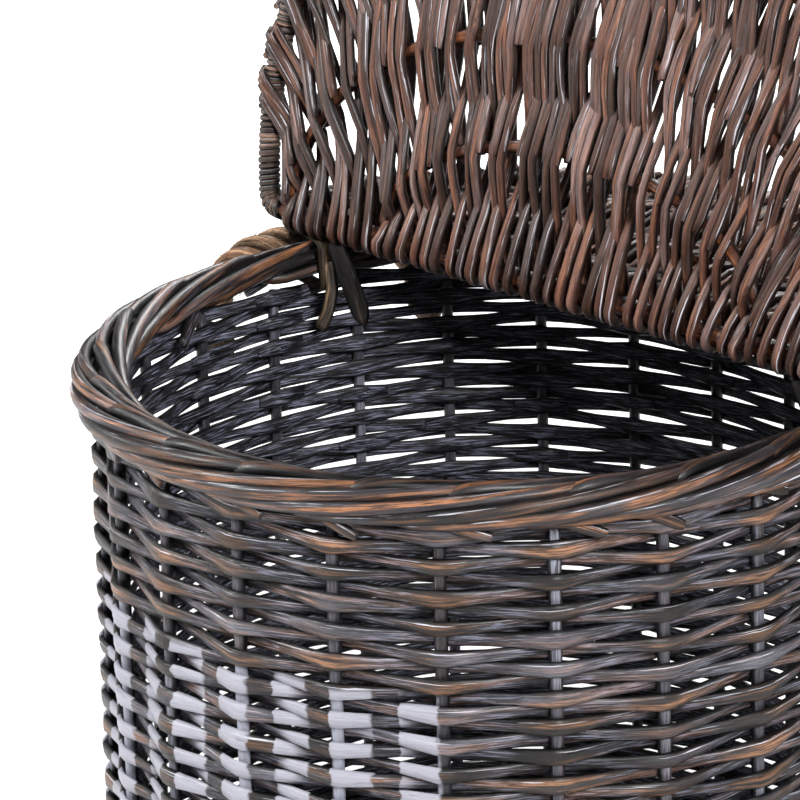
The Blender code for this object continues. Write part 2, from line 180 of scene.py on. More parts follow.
def attribute(tree, name):
    return addNode(tree, "ShaderNodeAttribute", attribute_name=name).outputs["Fac"]


def greyColor(tree, value):
    return addNode(tree, "ShaderNodeCombineColor", {0: value, 1: value, 2: value}).outputs[0]


# 1 along the crown of a rod, 0 at its two edges
def crownOf(tree, across):
    return maths(tree, "SUBTRACT", 1.0, times(tree, across, across))


# x, y and z from the axis of the basket, and the distance from it
def wallPlace(tree):
    place = addNode(tree, "ShaderNodeTexCoord").outputs["Object"]
    split = addNode(tree, "ShaderNodeSeparateXYZ", {0: place})
    x, z = split.outputs[0], split.outputs[2]
    y = maths(tree, "SUBTRACT", split.outputs[1], body["axisY"])
    squares = maths(tree, "ADD", times(tree, x, x), times(tree, y, y))
    return x, y, z, maths(tree, "SQRT", squares)


def newGroup(name, inputs, outputs):
    tree = bpy.data.node_groups.new(name, "ShaderNodeTree")
    for label, kind, value in inputs:
        socket = tree.interface.new_socket(name=label, in_out="INPUT", socket_type=kind)
        socket.default_value = value
    for label, kind in outputs:
        tree.interface.new_socket(name=label, in_out="OUTPUT", socket_type=kind)
    return tree, tree.nodes.new("NodeGroupInput"), tree.nodes.new("NodeGroupOutput")


# grain along a rod, with worn ridges, cool grey bloom that also serves as a painted sheen, painted
# highlights as pale glints, painted shade at the rod edges and the odd knot
# each noise: scale along the rod, scale the second way, detail, roughness
grain = {"fine": (60.0, 5.5, 6.0, 0.68), "coarse": (16.0, 1.3, 3.0, 0.55), "cloud": (9.0, 0.7, 2.0, 0.55),
         "spots": (42.0, 2.2, 0.0, 0.55), "streaks": (26.0, 6.0, 4.0, 0.6), "toneShift": 57.0,
         "streakShift": 9.0, "glintAt": 0.62, "knotColor": (0.012, 0.009, 0.008, 1),
         "glintColor": (0.60, 0.60, 0.66, 1)}


def makeRodGrain():
    inputs = [
        ("Bark", "NodeSocketColor", (0.05, 0.04, 0.035, 1)),
        ("Worn", "NodeSocketColor", (0.2, 0.1, 0.05, 1)),
        ("Bloom", "NodeSocketColor", (0.16, 0.17, 0.2, 1)),
        ("Wear", "NodeSocketFloat", 0.6),
        ("Bloom And Sheen Amount", "NodeSocketFloat", 0.3),
        ("Glint", "NodeSocketFloat", 0.5),
    ]
    outputs = [("Color", "NodeSocketColor"), ("Roughness", "NodeSocketFloat"), ("Height", "NodeSocketFloat")]
    tree, entry, exitNode = newGroup("rodGrain", inputs, outputs)
    along, across, facing, tone = (attribute(tree, name) for name in rodMarks)
    shifted = times(tree, tone, grain["toneShift"])

    def grainNoise(name, second, third=shifted):
        alongScale, secondScale, detail, roughness = grain[name]
        x = times(tree, along, alongScale)
        return noiseAt(tree, x, times(tree, second, secondScale), third, detail, roughness)

    fine = grainNoise("fine", across)
    crown = crownOf(tree, across)
    outer = stretch(tree, facing, -0.2, 0.7, 0.25, 1.0)
    worn = stretch(tree, grainNoise("coarse", across), 0.44, 0.60)
    worn = times(tree, worn, times(tree, crown, outer))
    worn = times(tree, worn, stretch(tree, fine, 0.32, 0.56, 0.25, 1.0))
    worn = times(tree, worn, entry.outputs["Wear"], True)
    color = mixColor(tree, worn, entry.outputs["Bark"], entry.outputs["Worn"])

    # cool grey patches: the willow's own waxy bloom, which also stands in for a painted sheen
    cloud = stretch(tree, grainNoise("cloud", facing), 0.5, 0.64)
    bloom = times(tree, cloud, entry.outputs["Bloom And Sheen Amount"], True)
    color = mixColor(tree, bloom, color, entry.outputs["Bloom"])

    # fine grain and random tone, then painted shade: each rod darkens towards its two edges, where it meets
    # and tucks under its neighbours
    grainToneAndEdgeShade = stretch(tree, fine, 0.34, 0.64, 0.35, 1.5)
    grainToneAndEdgeShade = times(tree, grainToneAndEdgeShade, stretch(tree, tone, 0.0, 1.0, 0.42, 1.5))
    grainToneAndEdgeShade = times(tree, grainToneAndEdgeShade, stretch(tree, crown, 0.0, 0.75, 0.12, 1.25))
    color = mixColor(tree, 1.0, color, greyColor(tree, grainToneAndEdgeShade), "MULTIPLY")

    knot = stretch(tree, grainNoise("spots", across), 0.79, 0.83)
    color = mixColor(tree, times(tree, knot, 0.7), color, grain["knotColor"])

    # painted highlights: pale glint streaks along one edge of each rod
    streaks = grainNoise("streaks", across, maths(tree, "ADD", shifted, grain["streakShift"]))
    offEdge = maths(tree, "ABSOLUTE", maths(tree, "ADD", across, grain["glintAt"]))
    edge = stretch(tree, offEdge, 0.22, 0.10)
    glint = times(tree, stretch(tree, streaks, 0.56, 0.62), edge)
    glint = times(tree, glint, entry.outputs["Glint"], True)
    color = mixColor(tree, glint, color, grain["glintColor"])
    roughness = stretch(tree, fine, 0.25, 0.75, 0.3, 0.58)
    height = maths(tree, "ADD", fine, times(tree, knot, 1.5))
    setInputs(tree, exitNode, {"Color": color, "Roughness": roughness, "Height": height})
    return tree


# plain upright bars of worn white paint on the outside of the front left
paint = {"from": 227.0, "pitch": 9.3, "bars": 9, "share": 0.6, "low": 0.02, "high": 0.285, "softDeg": 0.3,
         "raggedDeg": 0.25, "raggedScale": 160.0, "depth": 0.002}


def makePaintBars():
    tree, _, exitNode = newGroup("paintBars", [], [("Mask", "NodeSocketFloat")])
    x, y, z, reach = wallPlace(tree)
    soft, ragged = paint["softDeg"], paint["raggedDeg"]
    angle = maths(tree, "ADD", maths(tree, "DEGREES", maths(tree, "ARCTAN2", y, x)), 360.0 - paint["from"])
    torn = noiseAt(tree, *(times(tree, value, paint["raggedScale"]) for value in (x, y, z)))
    angle = maths(tree, "ADD", angle, stretch(tree, torn, 0.3, 0.7, -ragged, ragged))
    inBar = maths(tree, "MODULO", angle, paint["pitch"])
    middle = paint["pitch"] * paint["share"] / 2
    away = maths(tree, "ABSOLUTE", maths(tree, "SUBTRACT", inBar, middle))
    slope = (body["rimRadius"] - body["footRadius"]) / body["weaveTop"]
    wallAt = maths(tree, "ADD", body["footRadius"] - paint["depth"], times(tree, z, slope))
    outside = maths(tree, "SUBTRACT", reach, wallAt)
    last = paint["pitch"] * paint["bars"]
    mask = stretch(tree, away, middle + soft, middle - soft)
    edges = [(angle, 0.0, soft), (z, paint["low"], paint["low"] + 0.003), (angle, last, last - soft),
             (z, paint["high"], paint["high"] - 0.004), (outside, 0.0, paint["depth"])]
    for value, low, high in edges:
        mask = times(tree, mask, stretch(tree, value, low, high))
    setInputs(tree, exitNode, {"Mask": mask})
    return tree


rodGrain = makeRodGrain()
paintBars = makePaintBars()


# every rod material: its grain, then painted shade with painted glints on the inner side and deep inside the
# wall, and paint where the look has them
def rodMaterial(name, look):
    made, tree = newMaterial(name)
    keys = {"Bark": (*look["bark"], 1), "Worn": (*look["worn"], 1), "Bloom": (*look["bloom"], 1),
            "Wear": look["wear"], "Bloom And Sheen Amount": look["bloomAndSheenAmount"], "Glint": look["glint"]}
    grained = addNode(tree, "ShaderNodeGroup", keys, node_tree=rodGrain)
    color, height = grained.outputs["Color"], grained.outputs["Height"]
    if look.get("inside"):
        # painted shade: a dark inside colour on inward faces and deep inside the basket, with fibres that
        # reach bright painted glints and darken at the rod edges
        reach = wallPlace(tree)[3]
        inner = stretch(tree, attribute(tree, "facing"), -0.3, -0.05, 0.85, 0.0)
        crown = crownOf(tree, attribute(tree, "across"))
        fibresAndGlints = stretch(tree, height, 0.48, 0.66, 0.25, 26.0)
        fibresAndGlints = times(tree, fibresAndGlints, stretch(tree, crown, 0.1, 0.8, 0.05, 1.2))
        paintedInsideShade = mixColor(tree, 1.0, (*look["inside"], 1), greyColor(tree, fibresAndGlints), "MULTIPLY")
        color = mixColor(tree, inner, color, paintedInsideShade)
        deepShade = stretch(tree, reach, body["footRadius"] - 0.004, body["footRadius"], 0.5, 0.0)
        color = mixColor(tree, deepShade, color, paintedInsideShade)
    if look.get("painted"):
        bars = addNode(tree, "ShaderNodeGroup", node_tree=paintBars)
        grainy = stretch(tree, height, 0.25, 0.75, 0.72, 1.0)
        covered = times(tree, bars.outputs["Mask"], grainy)
        color = mixColor(tree, covered, color, (*look["painted"], 1))
    bump = addNode(tree, "ShaderNodeBump", {"Strength": look["bump"], "Distance": 0.001, "Height": height})
    setInputs(tree, tree.nodes["Principled BSDF"], {
        "Base Color": color, "Roughness": grained.outputs["Roughness"], "Normal": bump.outputs[0],
        "Specular IOR Level": look.get("shine", 0.3), "Coat Weight": look["coat"], "Coat Roughness": 0.28,
    })
    return made


looks = {
    "sideWillow": {
        "bark": (0.02, 0.016, 0.015), "worn": (0.155, 0.076, 0.04), "bloom": (0.115, 0.115, 0.14),
        "wear": 1.0, "bloomAndSheenAmount": 0.5, "glint": 1.0, "bump": 0.9, "coat": 0.15,
        # inside: the colour of the painted shade inside the basket
        "inside": (0.0105, 0.011, 0.015), "painted": (0.38, 0.38, 0.44),
    },
    "stakeWillow": {
        "bark": (0.03, 0.029, 0.037), "worn": (0.09, 0.066, 0.055), "bloom": (0.16, 0.165, 0.2),
        "wear": 0.4, "bloomAndSheenAmount": 0.6, "glint": 0.2, "bump": 0.7, "coat": 0.15,
        "painted": (0.3, 0.31, 0.37),
    },
    "borderWillow": {
        "bark": (0.017, 0.014, 0.016), "worn": (0.185, 0.078, 0.033), "bloom": (0.11, 0.11, 0.135),
        "wear": 0.85, "bloomAndSheenAmount": 0.35, "glint": 0.7, "bump": 0.5, "coat": 0.2,
    },
    "lidWillow": {
        "bark": (0.05, 0.02, 0.013), "worn": (0.36, 0.15, 0.078), "bloom": (0.2, 0.16, 0.16),
        "wear": 1.0, "bloomAndSheenAmount": 0.3, "glint": 1.0, "bump": 0.9, "coat": 0.25,
    },
    "ribWillow": {
        "bark": (0.07, 0.025, 0.014), "worn": (0.52, 0.16, 0.034), "bloom": (0.14, 0.12, 0.12),
        "wear": 1.0, "bloomAndSheenAmount": 0.3, "glint": 0.4, "bump": 1.0, "coat": 0.1,
    },
    "bindingWillow": {
        "bark": (0.026, 0.018, 0.015), "worn": (0.2, 0.11, 0.07), "bloom": (0.12, 0.11, 0.11),
        "wear": 0.9, "bloomAndSheenAmount": 0.3, "glint": 0.5, "bump": 0.7, "coat": 0.1,
    },
    "splitWillow": {
        "bark": (0.04, 0.03, 0.022), "worn": (0.26, 0.16, 0.085), "bloom": (0.1, 0.09, 0.08),
        "wear": 0.7, "bloomAndSheenAmount": 0.2, "glint": 0.2, "bump": 0.9, "coat": 0.0, "shine": 0.12,
    },
    "strapLeather": {
        "bark": (0.008, 0.007, 0.007), "worn": (0.036, 0.028, 0.021), "bloom": (0.03, 0.03, 0.03),
        "wear": 0.6, "bloomAndSheenAmount": 0.25, "glint": 0.1, "bump": 0.7, "coat": 0.0, "shine": 0.06,
    },
    "juteRope": {
        "bark": (0.13, 0.072, 0.042), "worn": (0.42, 0.255, 0.155), "bloom": (0.4, 0.27, 0.175),
        "wear": 1.0, "bloomAndSheenAmount": 0.4, "glint": 0.1, "bump": 1.0, "coat": 0.0, "shine": 0.1,
    },
}
finishes = {name: rodMaterial(name, look) for name, look in looks.items()}
print("materials made")


# a straight round rod, bent along a path; every woven piece is made of these
rodBlanks = {}


def rodBlank(sides, rings):
    if (sides, rings) in rodBlanks:
        return rodBlanks[(sides, rings)]
    bm = bmesh.new()
    bmesh.ops.create_cone(bm, cap_ends=True, segments=sides, radius1=1, radius2=1, depth=1)
    runs = [edge for edge in bm.edges if abs(edge.verts[0].co.z - edge.verts[1].co.z) > 0.5]
    bmesh.ops.subdivide_edges(bm, edges=runs, cuts=rings - 2, use_grid_fill=True)
    for face in bm.faces:
        face.smooth = len(face.verts) == 4
    mesh = bpy.data.meshes.new("rodBlank")
    bm.to_mesh(mesh)
    bm.free()
    spots = np.empty(len(mesh.vertices) * 3, np.float32)
    mesh.vertices.foreach_get("co", spots)
    spots = spots.reshape(-1, 3).astype(float)
    ringOf = np.rint((spots[:, 2] + 0.5) * (rings - 1)).astype(int)
    turn = np.arctan2(spots[:, 1], spots[:, 0])
    for name in rodMarks:
        mesh.attributes.new(name, "FLOAT", "POINT")
    rodBlanks[(sides, rings)] = (mesh, ringOf, turn)
    return rodBlanks[(sides, rings)]


def unit(rows):
    return rows / np.maximum(np.linalg.norm(rows, axis=1, keepdims=True), 1e-9)


def squareTo(tangent, rows):
    return unit(rows - (rows * tangent).sum(1, keepdims=True) * tangent)


def lengthAlong(path):
    return np.concatenate([[0], np.cumsum(np.linalg.norm(np.diff(path, axis=0), axis=1))])


# path, outward: rows of x, y, z; wide and thick: half sizes; flat: share left of the inner half
def bendRod(bm, path, outward, wide, thick, tone, sides=7, flat=1.0, square=1.0, blunt=0.75):
    path = np.asarray(path, float)
    rings = len(path)
    mesh, ringOf, turn = rodBlank(sides, rings)
    tangent = unit(np.gradient(path, axis=0))
    outward = np.broadcast_to(np.asarray(outward, float), path.shape)
    normal = squareTo(tangent, outward)
    side = np.cross(tangent, normal)
    wide = np.broadcast_to(np.asarray(wide, float), (rings,)).copy()
    thick = np.broadcast_to(np.asarray(thick, float), (rings,)).copy()
    for end in (0, -1):
        wide[end] *= blunt
        thick[end] *= blunt
    cos, sin = np.cos(turn), np.sin(turn)
    if square != 1.0:
        cos, sin = np.sign(cos) * abs(cos) ** square, np.sign(sin) * abs(sin) ** square
    shaped = np.where(cos < 0, cos * flat, cos)
    spots = path[ringOf] + normal[ringOf] * (shaped * thick[ringOf])[:, None]
    spots += side[ringOf] * (sin * wide[ringOf])[:, None]
    mesh.vertices.foreach_set("co", spots.astype(np.float32).ravel())
    along = lengthAlong(path)[ringOf]
    values = {"along": along, "across": sin, "facing": cos, "tone": np.full(len(turn), tone)}
    for name, value in values.items():
        mesh.attributes[name].data.foreach_set("value", value.astype(np.float32))
    bm.from_mesh(mesh)


def finishPiece(bm, name, finish, bodyName, replaced=()):
    mesh = bpy.data.meshes.new(name)
    bm.to_mesh(mesh)
    bm.free()
    made = bpy.data.objects.new(name, mesh)
    mesh.materials.append(finishes[finish])
    scene.collection.objects.link(made)
    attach(made, bodyName)
    if replaced:
        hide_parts(*replaced)
    triangles = sum(len(face.vertices) - 2 for face in mesh.polygons)
    print("made", name, triangles, "triangles")
    return made


def smoothPath(points, count):
    points = np.asarray(points, float)
    length = lengthAlong(points)
    wanted = np.linspace(0, length[-1], count)
    return np.stack([np.interp(wanted, length, points[:, axis]) for axis in range(3)], axis=1)


# rope handles: three laid strands between two knots on each side
handle = {"radius": 0.010, "turnDeg": 18.0, "spreadDeg": 17.0, "drop": 0.032, "knotRadius": 0.015,
          "standoff": 0.0045, "steps": 24, "lay": 0.052, "strandReach": 0.46, "strandSize": 0.60}
hairs = {"count": 900, "longest": 0.013, "radius": 0.00011}
ropeKnot = {"size": 0.0084, "rod": 0.0056, "hairs": 160, "hairReach": 0.0054, "longest": 0.003}


def handleRoute(mirror):
    turn, spread = math.radians(handle["turnDeg"]), math.radians(handle["spreadDeg"])
    knotZ = body["weaveTop"] - handle["drop"]
    knotReach = wallRadius(knotZ) + body["wall"] / 2 + handle["knotRadius"] + 0.001
    ropeReach = body["borderEdge"] + handle["standoff"] + handle["radius"]
    peakZ = body["borderTop"] - 0.0015 - handle["radius"]
    route = []
    for step in range(handle["steps"] + 1):
        share = -1 + 2 * step / handle["steps"]
        swell = (1 - abs(share) ** 3.2) ** (1 / 2.2)
        reach = knotReach + (ropeReach - knotReach) * min(1.0, 1.25 * swell)
        x, y, z = around(turn + spread * share, reach, knotZ + (peakZ - knotZ) * swell)
        route.append(Vector((mirror * x, y, z)))
    return route


def ropeHairs(bm, path, radius, count, rng, longest):
    for _ in range(count):
        spot = rng.uniform(0, len(path) - 1.001)
        index, share = int(spot), spot % 1
        centre = path[index] * (1 - share) + path[index + 1] * share
        along = unit((path[index + 1] - path[index])[None])[0]
        lean = rng.normal(size=3)
        out = unit((lean - lean.dot(along) * along)[None])[0]
        heading = out * rng.uniform(0.25, 0.9) + along * rng.choice([-1, 1]) + rng.normal(size=3) * 0.25
        direction = unit(heading[None])[0]
        length = rng.uniform(0.3, 1.0) * longest
        start = centre + out * radius * 0.9
        curl = out * rng.uniform(-0.3, 0.5) * length
        middle = start + direction * length * 0.5 + curl * 0.5
        hair = [start, middle, start + direction * length + curl * 0.6]
        bendRod(bm, hair, out + 0.01, hairs["radius"], hairs["radius"], rng.uniform(), sides=3)


def makeHandles():
    rng = np.random.default_rng(7)
    for mirror, side in ((-1, "left"), (1, "right")):
        title, owner = f"handle{side.capitalize()}", f"handle_{side}"
        route = handleRoute(mirror)
        clear = handle["knotRadius"] + 0.0003
        ends = (route[0], route[-1])
        inside = [point for point in route
                  if min((point - end).length for end in ends) > handle["knotRadius"]]
        first = ends[0] + (inside[0] - ends[0]).normalized() * clear
        last = ends[1] + (inside[-1] - ends[1]).normalized() * clear
        route = [first, *inside, last]
        centre = smoothPath(route, 90)
        tangent = unit(np.gradient(centre, axis=0))
        normal = squareTo(tangent, np.broadcast_to([0.0, 0.0, 1.0], centre.shape))
        level = np.cross(tangent, normal)
        length = lengthAlong(centre)
        bm = bmesh.new()
        for strand in range(3):
            twist = 2 * math.pi * (length / handle["lay"] + strand / 3)
            reach = handle["radius"] * handle["strandReach"]
            offset = normal * (np.cos(twist) * reach)[:, None] + level * (np.sin(twist) * reach)[:, None]
            size = handle["radius"] * handle["strandSize"] * (1 + 0.05 * np.sin(length * 310 + strand * 2))
            bendRod(bm, centre + offset, offset, size, size, 0.3 + 0.2 * strand, sides=12, blunt=0.9)
        rope = finishPiece(bm, f"{title}Rope", "juteRope", owner, [f"{owner}_rope"])
        bm = bmesh.new()
        ropeHairs(bm, centre, handle["radius"], hairs["count"], rng, hairs["longest"])
        knots = [finishPiece(bm, f"{title}Fuzz", "juteRope", owner)]
        for end, label in ((0, "front"), (-1, "back")):
            bm = bmesh.new()
            spot = np.array(ends[end])
            outer = unit(np.array([[spot[0], spot[1] - body["axisY"], 0.0]]))[0]
            across = np.cross([0, 0, 1.0], outer)
            turns = np.linspace(0, 2 * math.pi, 61)
            x = (np.sin(turns) + 2 * np.sin(2 * turns)) / 3
            y = (np.cos(turns) - 2 * np.cos(2 * turns)) / 3
            z = -np.sin(3 * turns) / 2
            trefoil = x[:, None] * across + y[:, None] * np.array([0, 0, 1.0]) + z[:, None] * outer
            path = spot + ropeKnot["size"] * trefoil
            bendRod(bm, path, outer, ropeKnot["rod"], ropeKnot["rod"], 0.5 + 0.1 * end, sides=12, blunt=1.0)
            ropeHairs(bm, path, ropeKnot["hairReach"], ropeKnot["hairs"], rng, ropeKnot["longest"])
            knots.append(finishPiece(bm, f"{title}Knot{label.capitalize()}", "juteRope", owner,
                                     [f"{owner}_knot_{label}"]))


makeHandles()
print("handles made")

# woven side: half-round strips over and under the stakes
weave = {"rows": 45, "low": 0.003, "wide": 0.0056, "thick": 0.0026, "flat": 0.35, "square": 0.62,
         "reach": 0.0050, "tuck": 0.0012, "wander": 0.0009, "lean": 0.16, "overlap": 0.28, "waist": 0.32,
         "stops": (0.05, 0.2, 0.4, 0.6, 0.8, 0.95)}


def stakeAngle(index):
    return 2 * math.pi * (index + 0.5) / body["stakes"]


def makeSideWeave():
    rng = np.random.default_rng(3)
    rows = weave["rows"]
    pitch = (body["weaveTop"] - weave["low"]) / rows
    stakes = body["stakes"]
    bands = [bmesh.new() for _ in range(3)]
    for row in range(rows):
        z = weave["low"] + pitch * (row + 0.5)
        first = int(rng.integers(0, stakes // 2)) * 2 + (row + 1) % 2
        stop = first
        bm = bands[row * 3 // rows]
        while stop < first + stakes:
            start = stop
            stop = min(start + int(rng.integers(2, 5)) * 2, first + stakes)
            corners = []
            for index in range(start, stop + 1):
                outside = (index + row) % 2 == 0
                reach = weave["reach"] * (1 if outside else -1)
                if index in (start, stop):
                    reach -= weave["tuck"]
                height = z + rng.normal() * weave["wander"]
                corners.append((stakeAngle(index), wallRadius(z) + reach, height))
            spots = [np.array(around(*corner)) for corner in corners]
            scale = rng.uniform(0.88, 1.08)
            lean = rng.normal(size=len(spots)) * weave["lean"]
            path = [spots[0] + (spots[0] - spots[1]) * weave["overlap"]]
            bays, wide = [0], [0.75]
            for index in range(len(spots) - 1):
                for share in weave["stops"]:
                    path.append(spots[index] * (1 - share) + spots[index + 1] * share)
                    bays.append(index + share)
                    wide.append(1.0 - weave["waist"] * math.sin(math.pi * share) + rng.normal() * 0.02)
            path.append(spots[-1] + (spots[-1] - spots[-2]) * weave["overlap"])
            bays.append(len(spots) - 1)
            wide.append(0.7)
            away = np.array(path) - [0, body["axisY"], 0]
            away[:, 2] = 0
            away = unit(away)
            away[:, 2] = np.interp(bays, range(len(lean)), lean) - 0.05
            wide = np.array(wide) * weave["wide"] * scale
            bendRod(bm, path, away, wide, weave["thick"] * scale, rng.uniform(), sides=8,
                    flat=weave["flat"], square=weave["square"])
    for index, bm in enumerate(bands):
        name = ("sideWeaveLow", "sideWeaveMiddle", "sideWeaveHigh")[index]
        finishPiece(bm, name, "sideWillow", "basket", ["side_weave"] if index == 1 else [])


stake = {"radius": 0.0036, "rings": 24, "drift": 0.00008, "low": 0.002, "clear": 0.001}


def makeStakes():
    rng = np.random.default_rng(5)
    bm = bmesh.new()
    names = []
    rings = stake["rings"]
    heights = np.linspace(stake["low"], body["weaveTop"] - stake["clear"], rings)
    for index in range(body["stakes"]):
        wobble = np.cumsum(rng.normal(size=rings)) * stake["drift"]
        path = [around(stakeAngle(index) + drift / 0.22, wallRadius(z), z)
                for z, drift in zip(heights, wobble)]
        size = stake["radius"] * (1 + rng.normal(size=rings) * 0.03)
        bendRod(bm, path, around(stakeAngle(index), 1, 0), size, size, rng.uniform(), sides=10)
        names.append(f"stake_{index + 1:02d}")
    finishPiece(bm, "wallStakes", "stakeWillow", "basket", names)


# foot: three rounds of a thick three-rod wale
foot = {"rounds": 3, "radius": 0.0043, "reach": 0.0052, "sway": 0.0006}


def makeFoot():
    rng = np.random.default_rng(6)
    bm = bmesh.new()
    for row in range(foot["rounds"]):
        z = body["footTop"] * (row + 0.5) / foot["rounds"]
        for strand in range(3):
            turns = np.linspace(0, 2 * math.pi, body["stakes"] * 8 + 1)
            bays = turns / (2 * math.pi) * body["stakes"]
            swing = np.cos(2 * math.pi * (bays + strand) / 3)
            path = []
            for turn, share in zip(turns, swing):
                height = z + foot["sway"] * math.sin(5 * turn + row)
                path.append(around(turn, wallRadius(z) + foot["reach"] * share, height))
            outward = np.array(path) - [0, body["axisY"], 0]
            bendRod(bm, path, outward, foot["radius"], foot["radius"], rng.uniform())
    finishPiece(bm, "footWale", "sideWillow", "basket", ["foot_wale"])


# border: thick whole rods rolled over from outside to inside
# sections: where a rod starts and ends round the border, in radians; tapers: its size at both ends
border = {"rod": 0.0043, "across": 0.0132, "tall": 0.0078, "sink": 0.0015, "rings": 26, "overlapDeg": 9,
          "outerSpan": 62.0, "outerSection": (-1.35, 1.75), "outerTaper": (1.08, 0.86),
          "innerSpan": 48.0, "innerSection": (1.25, 3.75), "innerTaper": (1.04, 0.9)}


def borderSpot(angle, section, lift=1.0):
    middle = (body["borderLow"] + body["borderTop"]) / 2 - border["sink"]
    radius = body["rimRadius"] + border["across"] * lift * math.cos(section)
    return around(angle, radius, middle + border["tall"] * lift * math.sin(section))


def makeBorder():
    rng = np.random.default_rng(11)
    bm = bmesh.new()
    step = 2 * math.pi / body["stakes"]
    for index in range(body["stakes"]):
        start = step * index + rng.normal() * 0.012
        for kind in ("outer", "inner"):
            span = math.radians(border[f"{kind}Span"])
            low, high = border[f"{kind}Section"]
            begin, dipShare = start, 0.08
            if kind == "inner":
                begin = start + math.radians(border["outerSpan"]) - math.radians(border["overlapDeg"])
                dipShare = 0.10
            path, outward = [], []
            sway = rng.normal() * 0.08
            for share in np.linspace(0, 1, border["rings"]):
                section = low + (high - low) * share + sway * math.sin(math.pi * share)
                dip = math.sin(min(1.0, share / dipShare) * math.pi / 2)
                tail = math.sin(min(1.0, (1 - share) / 0.10) * math.pi / 2)
                lift = (0.45 + 0.55 * dip) * (0.5 + 0.5 * tail)
                if kind == "inner":
                    lift *= 1 + 0.16 * math.exp(-((share - 0.12) / 0.10) ** 2)
                spot = borderSpot(begin + span * share, section, lift)
                path.append(spot)
                outward.append(np.array(spot) - np.array(borderSpot(begin + span * share, 0, 0)))
            taper = np.linspace(*border[f"{kind}Taper"], border["rings"])
            size = border["rod"] * taper * rng.uniform(0.93, 1.07)
            bendRod(bm, path, outward, size, size, rng.uniform(), sides=12)
    finishPiece(bm, "borderRods", "borderWillow", "basket", ["rim_border"])


# cut ends that show under the border, and fewer inside it
stub = {"outerReach": 0.0062, "outerSize": (0.0034, 0.0027), "innerReach": 0.010,
        "innerSize": (0.0042, 0.003), "innerEvery": 4}


def makeBorderStubs():
    rng = np.random.default_rng(12)
    bm = bmesh.new()
    for index in range(body["stakes"]):
        angle = stakeAngle(index) + rng.normal() * 0.02
        run = rng.uniform(0.06, 0.10)
        drop = rng.uniform(0.001, 0.007)
        reach, top = body["rimRadius"] + stub["outerReach"], body["borderLow"] + 0.004
        path = [around(angle + run * share, reach + 0.002 * share, top - (drop + 0.004) * share)
                for share in np.linspace(0, 1, 6)]
        bendRod(bm, path, around(angle, 1, 0), *stub["outerSize"], rng.uniform(), sides=8, blunt=0.8)
        if index % stub["innerEvery"]:
            continue
        reach, top = body["rimRadius"] - stub["innerReach"], body["borderLow"] + 0.006
        angle += rng.uniform(-0.05, 0.05)
        path = [around(angle + 0.10 * share, reach - 0.003 * share, top - 0.016 * share)
                for share in np.linspace(0, 1, 6)]
        bendRod(bm, path, around(angle, -1, 0), *stub["innerSize"], rng.uniform(), sides=8, blunt=0.9)
    finishPiece(bm, "borderStubs", "sideWillow", "basket")


# base: rounds of rod over and under the crossed sticks
base = {"first": 0.037, "pitch": 0.0088, "radius": 0.0041, "swing": 0.0034, "stick": 0.0039, "eye": 0.029,
        "crossing": 0.0183, "stickPitch": 0.0095, "layer": 0.0043, "stickRings": 40}
baseLow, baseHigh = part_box("base_weave")
base["middle"] = (baseLow.z + baseHigh.z) / 2
base["edge"] = (baseHigh.x - baseLow.x) / 2


def makeBase():
    rng = np.random.default_rng(13)
    edge = base["edge"] - base["radius"]
    bm = bmesh.new()
    radius, count = base["first"], 0
    while radius < edge:
        path = []
        for turn in np.linspace(0, 2 * math.pi, 97):
            height = base["middle"] + base["swing"] * math.cos(6 * turn + math.pi * count)
            path.append(around(turn, radius, height))
        bendRod(bm, path, (0, 0, 1), base["radius"], base["radius"] * 0.9, rng.uniform(), sides=6)
        radius += base["pitch"]
        count += 1
    finishPiece(bm, "baseWeave", "sideWillow", "basket", ["base_weave"])


def makeBaseSticks():
    rng = np.random.default_rng(14)
    middle, edge, rings = base["middle"], base["edge"] - 0.0004, base["stickRings"]
    number = 0
    for way, layer in ((0.0, -1), (math.pi / 2, 1)):
        for offset in (-1, 0, 1):
            number += 1
            lean = offset * math.pi / 6
            half = [(way + lean, edge, middle), (way + lean, base["eye"], middle)]
            x, y = base["crossing"], offset * base["stickPitch"]
            half.append((way + math.atan2(y, x), math.hypot(x, y), middle + layer * base["layer"]))
            far = [(2 * way + math.pi - angle, radius, z) for angle, radius, z in reversed(half)]
            path = smoothPath([around(*spot) for spot in half + far], rings)
            size = base["stick"] * (1 + 0.02 * rng.normal(size=rings))
            bm = bmesh.new()
            bendRod(bm, path, (0, 0, 1), size, size, rng.uniform(), sides=10)
            finishPiece(bm, f"baseStick{number}", "stakeWillow", "basket",
                        [f"base_stick_{number}"])


makeSideWeave()
makeStakes()
makeFoot()
makeBorder()
makeBorderStubs()
makeBase()
makeBaseSticks()
print("basket body made")

# lid and rear deck: rods fan out from a stick, over and under arched ribs, to a bound hoop
lid = {"prefix": "lid", "ribs": ((0.150, 0.072), (0.232, 0.137), (0.300, 0.215)), "loops": 46, "seed": 21}
deck = {"prefix": "deck", "ribs": ((0.135, 0.055), (0.205, 0.112)), "loops": 42, "seed": 22}
panel = {"stick": 0.006, "hoop": cover["hoopRod"], "rib": 0.004, "rod": 0.0031, "corner": 0.01,
         "margin": 0.005}
fan = {"lean": 0.07, "spreadDeg": 992, "mostDeg": 46, "leanNoise": 0.03, "bendNoise": 0.055,
       "bendEvery": 0.03, "straighten": 0.08, "step": 0.004, "farthest": 0.4, "wrapDeg": (30, 65, 100, 135)}
binding = {"pitch": 0.0036, "wide": 0.0019, "thick": 0.0010, "lift": 0.0007, "turnsPerStrip": 5, "rings": 9}


